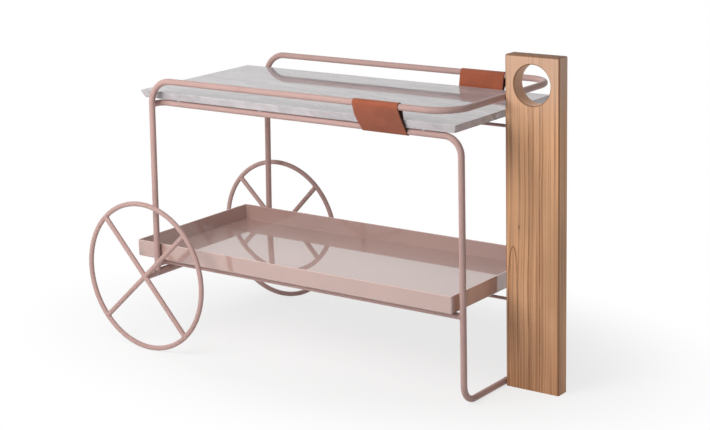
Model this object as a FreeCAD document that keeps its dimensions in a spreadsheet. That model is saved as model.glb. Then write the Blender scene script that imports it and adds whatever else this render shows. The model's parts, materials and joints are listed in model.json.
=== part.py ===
# A two-wheeled cheese trolley: a bent steel-tube frame that carries a marble slab and a
# lacquered tray, rolls on two spoked rings and stands on a floor bar and a wooden plank.
#
# Everything is laid out in millimetres from the axle: X runs from the wheels to the plank,
# Y across (near side is -Y), Z up from the floor. Each sub-part is then moved along X so
# that the origin is on the floor under the middle of the whole trolley.
import FreeCAD, Part

import math
import os

import Sketcher
from FreeCAD import Placement, Rotation, Vector

X_AXIS = Vector(1, 0, 0)
Y_AXIS = Vector(0, 1, 0)
Z_AXIS = Vector(0, 0, 1)

SIZES = [
    # frame tube
    ("tube_diameter", 16, "outside diameter of the frame tube"),
    ("tube_wall", 1.5, "wall of the frame tube"),
    ("cope_stop", 2, "how far short of the other tube's centre line a coped end stops"),
    ("rail_rise", 33, "centre of the top rails above the slab's top"),
    ("rail_half_width", 234, "top rails and wheel-end legs, from the middle plane"),
    ("rail_inset", 36, "how much closer to the middle plane the lower rails and handle-end legs are"),
    ("leg_lean", 15, "how much further back a wheel-end leg is at the top rail than at the axle"),
    ("handle_leg_x", 933, "handle-end legs and cross rail, from the axle"),
    ("rail_bend", 64, "centre-line radius from the wheel-end legs into the top rails"),
    ("corner_bend", 75, "centre-line radius from the top rails into the cross rail"),
    ("knee_bend", 45, "centre-line radius from the rails under the slab into the legs"),
    ("floor_bend", 45, "centre-line radius from the legs into the floor bar"),
    ("end_bend", 18, "centre-line radius where a lower rail turns out to its leg"),
    # slab
    ("slab_top", 682.5, "top of the slab above the floor"),
    ("slab_thickness", 20, "thickness of the slab"),
    ("slab_lead", 40, "how far the slab reaches ahead of the axle"),
    ("slab_stop", 3, "how far the slab stops short of the handle-end legs' centres"),
    ("slab_side_gap", 9, "gap between the slab's long edges and the wheel-end legs"),
    ("slab_bevel", 8, "how far the slab's edges are cut back at the underside"),
    ("slab_upright", 2, "upright edge left above the bevel"),
    ("slab_arris", 0.8, "radius of the slab's top edges"),
    # tray
    ("tray_gap", 4.5, "gap between the axle beam and the tray's rails above it"),
    ("tray_depth", 44, "height of the tray over all"),
    ("tray_lead", 75.5, "how far the tray reaches ahead of the axle"),
    ("tray_stop", 15.5, "how far the tray stops short of the handle-end legs' centres"),
    ("tray_side_gap", 2, "gap between the tray's long walls and the wheel-end legs"),
    ("tray_sheet", 2.5, "thickness of the folded and lacquered sheet"),
    ("tray_bend", 3.5, "outside radius of the tray's folds"),
    # pads
    ("pad_diameter", 11, "diameter of a bumper pad"),
    ("pad_seat", 1.5, "how far a pad reaches down over the round rail"),
    ("tray_pad", 1.5, "thickness of a pad between a rail and the tray"),
    ("pad_wheel_x", 75, "pads at the wheel end, from the axle"),
    ("pad_middle_x", 345, "pads near the middle, from the axle"),
    ("pad_handle_back", 101, "pads at the handle end, back from the handle-end legs"),
    # leather sleeves
    ("leather", 2.2, "thickness of the leather"),
    ("sleeve_gap", 0.6, "clearance of the slab over the leather that wraps its rails"),
    ("sleeve_length", 130, "length of a sleeve along its rail"),
    ("sleeve_back", 274, "wheel-side end of the sleeves, back from the handle-end legs"),
    # cross rods and tie rods
    ("rod_diameter", 8, "diameter of the cross rods and tie rods"),
    ("cross_rod_back", 73, "cross rods, back from the handle-end legs"),
    ("tie_rod_tail", 15, "how far a tie rod reaches past its cross rod"),
    # plank and what holds it
    ("plank_width", 146, "width of the plank along the trolley"),
    ("plank_thickness", 40, "thickness of the plank across the trolley"),
    ("plank_height", 819, "height of the plank"),
    ("plank_edge", 4, "radius of the plank's edges"),
    ("hole_diameter", 97, "diameter of the hand hole"),
    ("hole_drop", 69, "centre of the hand hole below the plank's top"),
    ("hole_edge", 3, "radius of the hand hole's rims"),
    ("insert_diameter", 13, "outside diameter of a threaded insert"),
    ("insert_length", 25, "length of a threaded insert"),
    ("screw_diameter", 5, "shank of a screw into the plank"),
    ("screw_depth", 22, "how far a screw reaches into the plank"),
    ("screw_head", 10, "diameter of a screw's head"),
    ("screw_head_height", 3, "height of a screw's head"),
    ("screw_clearance", 0.25, "radial clearance of a screw in the tube"),
    # axle
    ("axle_diameter", 20, "outside diameter of the axle beam"),
    ("axle_wall", 2, "wall of the axle beam"),
    ("axle_overhang", 4, "how far the axle beam reaches past its legs"),
    ("plug_length", 40, "how far a spindle is pressed into the axle beam"),
    ("shoulder", 2, "thickness of the spindle's shoulder"),
    ("journal_diameter", 10, "diameter of the spindle's journal"),
    ("groove_width", 5, "width of the retaining groove"),
    ("groove_depth", 1.5, "depth of the retaining groove"),
    # wheel
    ("wheel_diameter", 402, "outside diameter of a wheel"),
    ("wheel_bar", 13, "diameter of the bar that ring and spokes are made of"),
    ("near_spoke_angle", 42, "long spoke of the near wheel, from X towards Z"),
    ("far_spoke_angle", 46, "long spoke of the far wheel, from X towards Z"),
    ("hub_diameter", 20, "outside diameter of a hub"),
    ("hub_length", 30.2, "length of a hub"),
    ("hub_bore", 14, "bore of a hub, which the bushes are pressed into"),
    ("hub_seat", 3, "how deep the crossing spokes are let into the hub's end"),
    ("hub_floor", 3, "metal left between the bore's end and the spokes"),
    ("bush_length", 8, "length of a bush in the hub"),
    ("bush_flange", 1.5, "thickness of a bush's flange"),
    ("bush_flange_diameter", 18, "diameter of a bush's flange"),
    ("running_clearance", 0.05, "radial clearance of the journal in a bush"),
    ("end_play", 0.3, "clearance along the axle"),
    ("retainer_diameter", 4, "diameter of the retaining set screw"),
    ("retainer_tip", 2.5, "diameter of the set screw's dog point"),
    ("retainer_clearance", 0.4, "clearance of the dog point over the groove's floor"),
]

# Places that follow from the sizes above, each from the ones before it.
PLACES = [
    ("axle_height", "wheel_diameter / 2", "centre of the axle above the floor"),
    ("rail_height", "slab_top + rail_rise", "centre of the top rails above the floor"),
    ("lower_half_width", "rail_half_width - rail_inset", "lower rails and handle-end legs, from the middle plane"),
    ("slab_underside", "slab_top - slab_thickness", "underside of the slab above the floor"),
    ("slab_end", "handle_leg_x - slab_stop", "handle end of the slab, from the axle"),
    ("slab_half_width", "rail_half_width - tube_diameter / 2 - slab_side_gap", "half the slab's width"),
    ("shelf_rail_height", "slab_underside - leather - sleeve_gap - tube_diameter / 2",
     "centre of the rails under the slab above the floor"),
    ("tray_rail_height", "axle_height + axle_diameter / 2 + tray_gap + tube_diameter / 2",
     "centre of the tray's rails above the floor"),
    ("tray_underside", "tray_rail_height + tube_diameter / 2 + tray_pad", "underside of the tray above the floor"),
    ("tray_top", "tray_underside + tray_depth", "rim of the tray above the floor"),
    ("tray_end", "handle_leg_x - tray_stop", "handle end of the tray, from the axle"),
    ("tray_half_width", "rail_half_width - tube_diameter / 2 - tray_side_gap", "half the tray's width"),
    ("cross_rod_x", "handle_leg_x - cross_rod_back", "cross rods, from the axle"),
    ("pad_handle_x", "handle_leg_x - pad_handle_back", "pads at the handle end, from the axle"),
    ("sleeve_x", "handle_leg_x - sleeve_back", "wheel-side end of the sleeves, from the axle"),
    ("plank_face", "handle_leg_x + tube_diameter / 2", "face of the plank that meets the tubes, from the axle"),
    ("axle_end", "rail_half_width + tube_diameter / 2 + axle_overhang", "end of the axle beam, from the middle plane"),
    ("hub_start", "axle_end + shoulder + end_play + bush_flange", "open end of a hub, from the middle plane"),
    ("wheel_half_track", "hub_start + hub_length - hub_seat + wheel_bar / 2",
     "middle of a wheel, from the middle plane"),
    ("bore_depth", "hub_length - hub_seat - hub_floor", "depth of a hub's bore"),
    ("groove_middle", "(bore_depth + bush_flange) / 2", "middle of the retaining groove, from the hub's open end"),
    ("middle", "(plank_face + plank_width - wheel_diameter / 2) / 2", "middle of the trolley, from the axle"),
]

document = FreeCAD.newDocument("cheese_trolley")


def make_sheet():
    """Put every dimension in a named cell, work out the places and read it all back."""
    sheet = document.addObject("Spreadsheet::Sheet", "Sizes")
    cells = [(name, str(value), meaning) for name, value, meaning in SIZES]
    cells += [(name, "=" + formula, meaning) for name, formula, meaning in PLACES]
    for row, (name, content, meaning) in enumerate(cells, start=1):
        sheet.set("A%d" % row, content)
        sheet.setAlias("A%d" % row, name)
        sheet.set("B%d" % row, meaning)
    document.recompute()
    return {name: float(sheet.get(name)) for name, _, _ in cells}


size = make_sheet()
nodes = {}


def bind(thing, **expressions):
    """Bind properties to expressions; a double underscore in a name stands for a dot."""
    for name, expression in expressions.items():
        thing.setExpression(name.replace("__", "."), expression)
    return thing


def keep(label, thing):
    """Make an object a sub-part of the trolley and move it from axle to middle."""
    thing.Label = label
    bind(thing, Placement__Base__x="-Sizes.middle")
    nodes[label] = thing
    return thing


def mirrored(label, source):
    """The far-side twin of a sub-part."""
    twin = document.addObject("Part::Mirroring", "mirror")
    twin.Source = source
    twin.Normal = Y_AXIS
    twin.Label = label
    nodes[label] = twin
    return twin


# ---- small building blocks -------------------------------------------------------------


def cylinder(radius, length, at=("0", "0", "0"), along=Z_AXIS, centred=False):
    """A bound cylinder that starts (or is centred) at a point and runs along a direction."""
    made = document.addObject("Part::Cylinder", "cylinder")
    made.Placement = Placement(Vector(), Rotation(Z_AXIS, along))
    bind(made, Radius=radius, Height=length)
    places = list(at)
    if centred:
        back = "(%s) / 2" % length
        for index, share in enumerate(along):
            if share:
                places[index] = "%s - (%g) * %s" % (places[index], share, back)
    bind(made, Placement__Base__x=places[0], Placement__Base__y=places[1], Placement__Base__z=places[2])
    return made


def cut(base, tool):
    made = document.addObject("Part::Cut", "cut")
    made.Base = base
    made.Tool = tool
    return made


def group(pieces):
    """Separate solids that share one node."""
    made = document.addObject("Part::Compound", "group")
    made.Links = pieces
    return made


def origin_plane(body, role):
    return [part for part in body.Origin.OriginFeatures if part.Role == role][0]


def sketch_on(body, role, offset=None):
    sketch = body.newObject("Sketcher::SketchObject", "sketch")
    sketch.AttachmentSupport = [(origin_plane(body, role), "")]
    sketch.MapMode = "FlatFace"
    if offset:
        sketch.setExpression("AttachmentOffset.Base.z", offset)
    return sketch


def draw_outline(sketch, corners):
    """A closed outline of straight lines, each corner bound to its two expressions."""
    count = len(corners)
    ring = [Vector(math.cos(turn), math.sin(turn), 0) for turn in
            (2 * math.pi * index / count for index in range(count))]
    for index in range(count):
        sketch.addGeometry(Part.LineSegment(ring[index], ring[(index + 1) % count]), False)
    for index in range(count):
        sketch.addConstraint(Sketcher.Constraint("Coincident", index, 2, (index + 1) % count, 1))
    for index, corner in enumerate(corners):
        for kind, expression in zip(("DistanceX", "DistanceY"), corner):
            name = "%s_%d" % (kind, index)
            added = sketch.addConstraint(Sketcher.Constraint(kind, -1, 1, index, 1, 1.0))
            sketch.renameConstraint(added, name)
            sketch.setExpression("Constraints." + name, expression)


def draw_circle(sketch, centre, diameter):
    """A circle bound to the expressions of its centre and diameter."""
    index = sketch.addGeometry(Part.Circle(Vector(1, 1, 0), Z_AXIS, 1), False)
    values = (("DistanceX", (-1, 1, index, 3), centre[0]),
              ("DistanceY", (-1, 1, index, 3), centre[1]),
              ("Diameter", (index,), diameter))
    for kind, ends, expression in values:
        name = "%s_%d" % (kind, index)
        added = sketch.addConstraint(Sketcher.Constraint(kind, *ends, 1.0))
        sketch.renameConstraint(added, name)
        sketch.setExpression("Constraints." + name, expression)


def rectangle(x_from, x_to, y_from, y_to):
    return [(x_from, y_from), (x_to, y_from), (x_to, y_to), (x_from, y_to)]


def pad(body, sketch, length):
    made = body.newObject("PartDesign::Pad", "pad")
    made.Profile = sketch
    return bind(made, Length=length)


def pocket(body, sketch, length=None, reverse=False):
    """Cut a sketch into a body; without a length it goes through both ways."""
    made = body.newObject("PartDesign::Pocket", "pocket")
    made.Profile = sketch
    made.Reversed = reverse
    if length:
        return bind(made, Length=length)
    made.Type = "ThroughAll"
    made.Midplane = True
    return made


def fillet(body, edges, radius):
    """Round the edges of the body's tip that a test picks."""
    document.recompute()
    base = body.Tip
    names = ["Edge%d" % number for number, edge in enumerate(base.Shape.Edges, start=1) if edges(edge)]
    made = body.newObject("PartDesign::Fillet", "fillet")
    made.Base = (base, names)
    return bind(made, Radius=radius)


def turned(outline):
    """A body of revolution about Z from (radius, height) corners."""
    body = document.addObject("PartDesign::Body", "turned")
    sketch = sketch_on(body, "XZ_Plane")
    draw_outline(sketch, outline)
    made = body.newObject("PartDesign::Revolution", "revolution")
    made.Profile = sketch
    made.ReferenceAxis = (sketch, ["V_Axis"])
    made.Angle = 360
    return body


# ---- bent tubes ------------------------------------------------------------------------


def centre_line(corners, bends):
    """Straight runs between corners, joined by tangent arcs of the given radii."""
    edges = []
    start = corners[0]
    for before, corner, after, radius in zip(corners, corners[1:], corners[2:], bends):
        back = (before - corner).normalize()
        ahead = (after - corner).normalize()
        half_angle = back.getAngle(ahead) / 2
        reach = radius / math.tan(half_angle)
        inward = (back + ahead).normalize()
        middle = corner + inward * (radius / math.sin(half_angle) - radius)
        enter = corner + back * reach
        leave = corner + ahead * reach
        edges.append(Part.makeLine(start, enter))
        edges.append(Part.Arc(enter, middle, leave).toShape())
        start = leave
    edges.append(Part.makeLine(start, corners[-1]))
    return Part.Wire(edges)


def swept(path, radius):
    """A round bar of a bound radius along a path."""
    start = path.Shape.Vertexes[0].Point
    heading = path.Shape.Edges[0].tangentAt(path.Shape.Edges[0].FirstParameter)
    section = document.addObject("Part::Circle", "section")
    section.Placement = Placement(start, Rotation(Z_AXIS, heading))
    bind(section, Radius=radius)
    made = document.addObject("Part::Sweep", "sweep")
    made.Sections = [section]
    made.Spine = (path, ["Edge%d" % (index + 1) for index in range(len(path.Shape.Edges))])
    made.Solid = True
    made.Frenet = False
    return made


def tube_path(corners, bends):
    path = document.addObject("Part::Feature", "centre_line")
    path.Shape = centre_line(corners, bends)
    return path


def bent_tube(corners, bends, copes):
    """A tube along a bent path, open inside, with its ends coped to other tubes."""
    path = tube_path(corners, bends)
    outside = swept(path, "Sizes.tube_diameter / 2")
    inside = swept(path, "Sizes.tube_diameter / 2 - Sizes.tube_wall")
    made = cut(outside, inside)
    for tool in copes:
        made = cut(made, tool)
    return made


tube_radius = size["tube_diameter"] / 2


def leg_x(height):
    """Where the leaning wheel-end leg's centre is at a height."""
    return size["leg_lean"] * (height - size["axle_height"]) / (size["rail_height"] - size["axle_height"])


def leg_envelope(side):
    """The solid cylinder that a wheel-end leg fills, to cope other tubes with."""
    foot = Vector(0, side * size["rail_half_width"], size["axle_height"])
    lean = Vector(size["leg_lean"], 0, size["rail_height"] - size["axle_height"])
    made = document.addObject("Part::Cylinder", "leg_envelope")
    made.Placement = Placement(foot, Rotation(Z_AXIS, lean))
    made.Height = lean.Length
    return bind(made, Radius="Sizes.tube_diameter / 2")


def handle_leg_envelope(side):
    return cylinder("Sizes.tube_diameter / 2", "Sizes.rail_height",
                    ("Sizes.handle_leg_x", "%d * Sizes.lower_half_width" % side, "0"))


def screw_hole(height):
    """The clearance hole for a plank screw through a cross tube."""
    return cylinder("Sizes.screw_diameter / 2 + Sizes.screw_clearance", "Sizes.tube_diameter",
                    ("Sizes.handle_leg_x", "0", height), X_AXIS, centred=True)


def upper_loop_route():
    """Corners and bend radii of the upper loop's centre line, from one leg's foot to the other's."""
    half = size["rail_half_width"]
    top = size["rail_height"]
    foot = Vector(0, -half, size["axle_height"])
    near = Vector(size["leg_lean"], -half, top)
    start = foot + (near - foot).normalize() * size["cope_stop"]
    corners = [start, near, Vector(size["handle_leg_x"], -half, top)]
    corners += [Vector(point.x, -point.y, point.z) for point in reversed(corners)]
    bends = [size["rail_bend"], size["corner_bend"]]
    return corners, bends + bends[::-1]


def make_upper_loop():
    """Two leaning legs, two long rails and the cross rail, all one tube."""
    axle = cylinder("Sizes.axle_diameter / 2", "2 * Sizes.axle_end", ("0", "0", "Sizes.axle_height"), Y_AXIS, centred=True)
    keep("upper_loop", bent_tube(*upper_loop_route(), [axle, screw_hole("Sizes.rail_height")]))


def lower_rail_start(height):
    """The end of a lower rail at its leg, and the corner where it turns along the trolley."""
    place = leg_x(height)
    end = Vector(place, -size["rail_half_width"] + size["cope_stop"], height)
    turn = Vector(place, -size["lower_half_width"], height)
    return [end, turn]


def make_lower_loop():
    """The rails under the slab, the handle-end legs and the floor bar, all one tube."""
    half = size["lower_half_width"]
    knee = Vector(size["handle_leg_x"], -half, size["shelf_rail_height"])
    foot = Vector(size["handle_leg_x"], -half, tube_radius)
    corners = lower_rail_start(size["shelf_rail_height"]) + [knee, foot]
    corners += [Vector(point.x, -point.y, point.z) for point in reversed(corners)]
    bends = [size["end_bend"], size["knee_bend"], size["floor_bend"]]
    upper_loop = swept(tube_path(*upper_loop_route()), "Sizes.tube_diameter / 2")
    copes = [upper_loop, screw_hole("Sizes.tube_diameter / 2")]
    keep("lower_loop", bent_tube(corners, bends + bends[::-1], copes))


def make_tray_rails():
    """A rail under each side of the tray, from the wheel-end leg to the handle-end leg."""
    end = Vector(size["handle_leg_x"] - size["cope_stop"], -size["lower_half_width"], size["tray_rail_height"])
    corners = lower_rail_start(size["tray_rail_height"]) + [end]
    rail = bent_tube(corners, [size["end_bend"]], [leg_envelope(-1), handle_leg_envelope(-1)])
    mirrored("tray_rail_far", keep("tray_rail_near", rail))


# ---- axle and wheels -------------------------------------------------------------------


def make_axle_beam():
    outside = cylinder("Sizes.axle_diameter / 2", "2 * Sizes.axle_end", ("0", "0", "Sizes.axle_height"), Y_AXIS, centred=True)
    bore = cylinder("Sizes.axle_diameter / 2 - Sizes.axle_wall", "2 * Sizes.axle_end",
                    ("0", "0", "Sizes.axle_height"), Y_AXIS, centred=True)
    keep("axle_beam", cut(outside, bore))


def facing_out(thing, side, distance):
    """Turn a piece made along Z so that it points out of the trolley, at a distance from the middle."""
    thing.Placement = Placement(Vector(), Rotation(X_AXIS, -90 * side))
    return bind(thing, Placement__Base__y="%d * %s" % (side, distance), Placement__Base__z="Sizes.axle_height")


def make_spindle(name, side):
    """Plug, shoulder and grooved journal, turned from one bar; its zero is the beam's end."""
    plug = "Sizes.axle_diameter / 2 - Sizes.axle_wall"
    journal = "Sizes.journal_diameter / 2"
    root = journal + " - Sizes.groove_depth"
    hub_start = "Sizes.shoulder + Sizes.end_play + Sizes.bush_flange"
    groove_from = hub_start + " + Sizes.groove_middle - Sizes.groove_width / 2"
    groove_to = hub_start + " + Sizes.groove_middle + Sizes.groove_width / 2"
    tip = hub_start + " + Sizes.bore_depth - 2 * Sizes.end_play"
    outline = [
        ("0", "-Sizes.plug_length"), (plug, "-Sizes.plug_length"), (plug, "0"),
        ("Sizes.axle_diameter / 2", "0"), ("Sizes.axle_diameter / 2", "Sizes.shoulder"),
        (journal, "Sizes.shoulder"), (journal, groove_from), (root, groove_from),
        (root, groove_to), (journal, groove_to), (journal, tip), ("0", tip),
    ]
    keep("spindle_" + name, facing_out(turned(outline), side, "Sizes.axle_end"))


def bar(length, start="0", angle=0):
    """A length of wheel bar in the wheel's plane, from a distance along its own direction."""
    made = cylinder("Sizes.wheel_bar / 2", length, (start, "0", "0"), X_AXIS)
    turned_bar = group([made])
    turned_bar.Placement = Placement(Vector(), Rotation(Z_AXIS, angle))
    return turned_bar


def ring():
    """The rolled ring, in its own plane."""
    made = document.addObject("Part::Torus", "ring")
    return bind(made, Radius1="(Sizes.wheel_diameter - Sizes.wheel_bar) / 2", Radius2="Sizes.wheel_bar / 2")


RING_REACH = "((Sizes.wheel_diameter - Sizes.wheel_bar) / 2 - Sizes.cope_stop)"


def wheel_pieces():
    """The pieces of a wheel about Z, with the wheel's middle at zero and its outside up."""
    long_spoke = cut(bar("2 * " + RING_REACH, "-" + RING_REACH), ring())
    halves = []
    for angle in (90, 270):
        half = bar(RING_REACH + " - Sizes.cope_stop", "Sizes.cope_stop", angle)
        halves.append(cut(cut(half, ring()), bar("2 * " + RING_REACH, "-" + RING_REACH)))
    return {"ring": ring(), "spoke_long": long_spoke, "spoke_halves": group(halves)}


def hub_body():
    """A blind hub: its open end is at zero and it runs out to the crossing of the spokes."""
    outside = "Sizes.hub_diameter / 2"
    bore = "Sizes.hub_bore / 2"
    outline = [(bore, "0"), (outside, "0"), (outside, "Sizes.hub_length"), ("0", "Sizes.hub_length"),
               ("0", "Sizes.bore_depth"), (bore, "Sizes.bore_depth")]
    return turned(outline)


def make_hub(name, side, angle):
    """The hub with the spokes let into its end and a tapped hole for the retainer."""
    hub = hub_body()
    to_middle = "Sizes.wheel_half_track - Sizes.hub_start"
    for turn in (0, 90):
        seat = cylinder("Sizes.wheel_bar / 2", "2 * Sizes.hub_diameter", ("0", "0", to_middle),
                        Rotation(Z_AXIS, turn).multVec(X_AXIS), centred=True)
        hub = cut(hub, seat)
    tapped = cylinder("Sizes.retainer_diameter / 2", "Sizes.hub_diameter", ("0", "0", "Sizes.groove_middle"), X_AXIS)
    bisector = group([tapped])
    bisector.Placement = Placement(Vector(), Rotation(Z_AXIS, 45))
    hub = group([cut(hub, bisector)])
    place_on_wheel("wheel_hub_" + name, hub, side, angle, "Sizes.hub_start")


def make_bushes(name, side, angle):
    """A flanged bush in the hub's mouth and a plain one at the bore's end."""
    bore = "Sizes.journal_diameter / 2 + Sizes.running_clearance"
    outside = "Sizes.hub_bore / 2"
    flange = "Sizes.bush_flange_diameter / 2"
    flanged = turned([(bore, "-Sizes.bush_flange"), (flange, "-Sizes.bush_flange"), (flange, "0"),
                      (outside, "0"), (outside, "Sizes.bush_length"), (bore, "Sizes.bush_length")])
    plain = turned(rectangle(bore, outside, "Sizes.bore_depth - Sizes.bush_length", "Sizes.bore_depth"))
    place_on_wheel("wheel_bushes_" + name, group([flanged, plain]), side, angle, "Sizes.hub_start")


def make_retainer(name, side, angle):
    """The set screw across the hub, with a dog point that runs in the spindle's groove."""
    groove_floor = "Sizes.journal_diameter / 2 - Sizes.groove_depth"
    tip_from = groove_floor + " + Sizes.retainer_clearance"
    body_from = "Sizes.journal_diameter / 2 + Sizes.retainer_clearance"
    tip = "Sizes.retainer_tip / 2"
    body = "Sizes.retainer_diameter / 2"
    end = "Sizes.hub_diameter / 2"
    screw = turned([("0", tip_from), (tip, tip_from), (tip, body_from), (body, body_from), (body, end), ("0", end)])
    screw.Placement = Placement(Vector(), Rotation(Z_AXIS, Vector(1, 1, 0)))
    bind(screw, Placement__Base__z="Sizes.groove_middle")
    place_on_wheel("wheel_retainer_" + name, group([screw]), side, angle, "Sizes.hub_start")


def place_on_wheel(label, thing, side, angle, distance):
    """Seat a piece made about Z on the axle line, turned with its wheel."""
    facing_out(thing, side, distance)
    thing.Placement = Placement(Vector(), thing.Placement.Rotation * Rotation(Z_AXIS, -side * angle))
    keep(label, thing)


def make_wheel(name, side):
    angle = size["%s_spoke_angle" % name]
    for piece, shape in wheel_pieces().items():
        place_on_wheel("wheel_%s_%s" % (piece, name), shape, side, angle, "Sizes.wheel_half_track")
    make_hub(name, side, angle)
    make_bushes(name, side, angle)
    make_retainer(name, side, angle)
    make_spindle(name, side)


# ---- slab, tray and pads ---------------------------------------------------------------


def make_slab():
    """A slab with a rounded top edge, an upright strip and a bevel cut back underneath."""
    body = document.addObject("PartDesign::Body", "slab")
    half = "Sizes.slab_half_width"
    corners = rectangle("-Sizes.slab_lead", "Sizes.slab_end", "-" + half, half)
    strip_foot = "Sizes.slab_top - Sizes.slab_upright"
    strip = sketch_on(body, "XY_Plane", strip_foot)
    draw_outline(strip, corners)
    pad(body, strip, "Sizes.slab_upright")
    bevel = sketch_on(body, "XY_Plane", strip_foot)
    draw_outline(bevel, corners)
    below = pad(body, bevel, "Sizes.slab_thickness - Sizes.slab_upright")
    below.Reversed = True
    bind(below, TaperAngle="-atan(Sizes.slab_bevel / (Sizes.slab_thickness - Sizes.slab_upright))")
    top = size["slab_top"]
    fillet(body, lambda edge: edge.BoundBox.ZMin > top - 0.1, "Sizes.slab_arris")
    keep("marble_slab", body)


def is_upright(edge):
    return edge.BoundBox.ZLength > size["tray_depth"] / 2


def make_tray():
    """A folded tray: a block with rounded folds, hollowed from the top to leave the sheet."""
    body = document.addObject("PartDesign::Body", "tray")
    half = "Sizes.tray_half_width"
    block = sketch_on(body, "XY_Plane", "Sizes.tray_underside")
    draw_outline(block, rectangle("-Sizes.tray_lead", "Sizes.tray_end", "-" + half, half))
    pad(body, block, "Sizes.tray_depth")
    rim = size["tray_top"]
    fillet(body, lambda edge: is_upright(edge) or edge.BoundBox.ZMax < rim - 1, "Sizes.tray_bend")
    hollow = sketch_on(body, "XY_Plane", "Sizes.tray_top")
    inner = "(Sizes.tray_half_width - Sizes.tray_sheet)"
    draw_outline(hollow, rectangle("Sizes.tray_sheet - Sizes.tray_lead", "Sizes.tray_end - Sizes.tray_sheet",
                                   "-" + inner, inner))
    pocket(body, hollow, "Sizes.tray_depth - Sizes.tray_sheet")
    floor = size["tray_underside"] + size["tray_sheet"]
    fillet(body, lambda edge: abs(edge.BoundBox.ZMin - floor) < 0.01, "Sizes.tray_bend - Sizes.tray_sheet")
    keep("tray", body)


def make_pads(label, rail, underside):
    """Bumper pads on both rails, hollowed underneath to sit on the round tube."""
    pads = []
    for side in (-1, 1):
        across = "%d * Sizes.lower_half_width" % side
        tube = cylinder("Sizes.tube_diameter / 2", "Sizes.handle_leg_x", ("0", across, rail), X_AXIS)
        for place in ("Sizes.pad_wheel_x", "Sizes.pad_middle_x", "Sizes.pad_handle_x"):
            foot = "%s + Sizes.tube_diameter / 2 - Sizes.pad_seat" % rail
            height = "%s - (%s)" % (underside, foot)
            pads.append(cut(cylinder("Sizes.pad_diameter / 2", height, (place, across, foot)), tube))
    keep(label, group(pads))


# ---- leather sleeves -------------------------------------------------------------------


def sleeve_section():
    """The near sleeve in section: an outer and an inner skin, wrapped round both rails."""
    rail = Vector(0, -size["rail_half_width"], size["rail_height"])
    lower = Vector(0, -size["lower_half_width"], size["shelf_rail_height"])
    inner = tube_radius
    outer = inner + size["leather"]
    down = (lower - rail).normalize()
    out = Vector(0, down.z, -down.y)
    slope = down.y / -down.z
    seam = rail + out * (inner - size["leather"])
    inner_skin = rail.y + outer
    joined = Vector(0, inner_skin, seam.z - (inner_skin - seam.y) / slope)
    lower_top = lower.z + outer
    heel = Vector(0, seam.y + (seam.z - lower_top) * slope, lower_top)
    lower_foot = lower - Z_AXIS * outer
    skin = [
        Part.Arc(rail + out * outer, rail - down * outer, rail + Y_AXIS * outer).toShape(),
        Part.makeLine(rail + Y_AXIS * outer, joined),
        Part.makeLine(joined, heel),
        Part.makeLine(heel, lower + Z_AXIS * outer),
        Part.Arc(lower + Z_AXIS * outer, lower + Y_AXIS * outer, lower_foot).toShape(),
        Part.Arc(lower_foot, lower + (out - Z_AXIS).normalize() * outer, lower + out * outer).toShape(),
        Part.makeLine(lower + out * outer, rail + out * outer),
    ]
    left = rail + out * inner
    right = rail + Y_AXIS * inner
    apex = Vector(0, right.y, left.z - (right.y - left.y) / slope)
    round_rail = [
        Part.Arc(left, rail - down * inner, right).toShape(),
        Part.makeLine(right, apex),
        Part.makeLine(apex, left),
    ]
    section = Part.Face(Part.Wire(skin)).cut(Part.Face(Part.Wire(round_rail)))
    return section.cut(Part.Face(Part.Wire(Part.makeCircle(inner, lower, X_AXIS))))


def make_sleeves():
    section = document.addObject("Part::Feature", "sleeve_section")
    section.Shape = sleeve_section()
    bind(section, Placement__Base__x="Sizes.sleeve_x")
    sleeve = document.addObject("Part::Extrusion", "sleeve")
    sleeve.Base = section
    sleeve.DirMode = "Custom"
    sleeve.Dir = X_AXIS
    sleeve.Solid = True
    bind(sleeve, LengthFwd="Sizes.sleeve_length")
    mirrored("leather_sleeve_far", keep("leather_sleeve_near", sleeve))


# ---- rods, plank and its fixings -------------------------------------------------------


def make_rods(name, rail):
    """A cross rod between two rails, and a tie rod under it that runs into the plank."""
    reach = "2 * (Sizes.lower_half_width - Sizes.cope_stop)"
    cross = cylinder("Sizes.rod_diameter / 2", reach, ("Sizes.cross_rod_x", "0", rail), Y_AXIS, centred=True)
    for side in (-1, 1):
        tube = cylinder("Sizes.tube_diameter / 2", "Sizes.handle_leg_x",
                        ("0", "%d * Sizes.lower_half_width" % side, rail), X_AXIS)
        cross = cut(cross, tube)
    keep(name + "_cross_rod", cross)
    start = "Sizes.cross_rod_x - Sizes.tie_rod_tail"
    length = "Sizes.plank_face + Sizes.insert_length - (%s)" % start
    tie = cylinder("Sizes.rod_diameter / 2", length, (start, "0", rail + " - Sizes.rod_diameter"), X_AXIS)
    keep(name + "_tie_rod", group([tie]))


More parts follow.
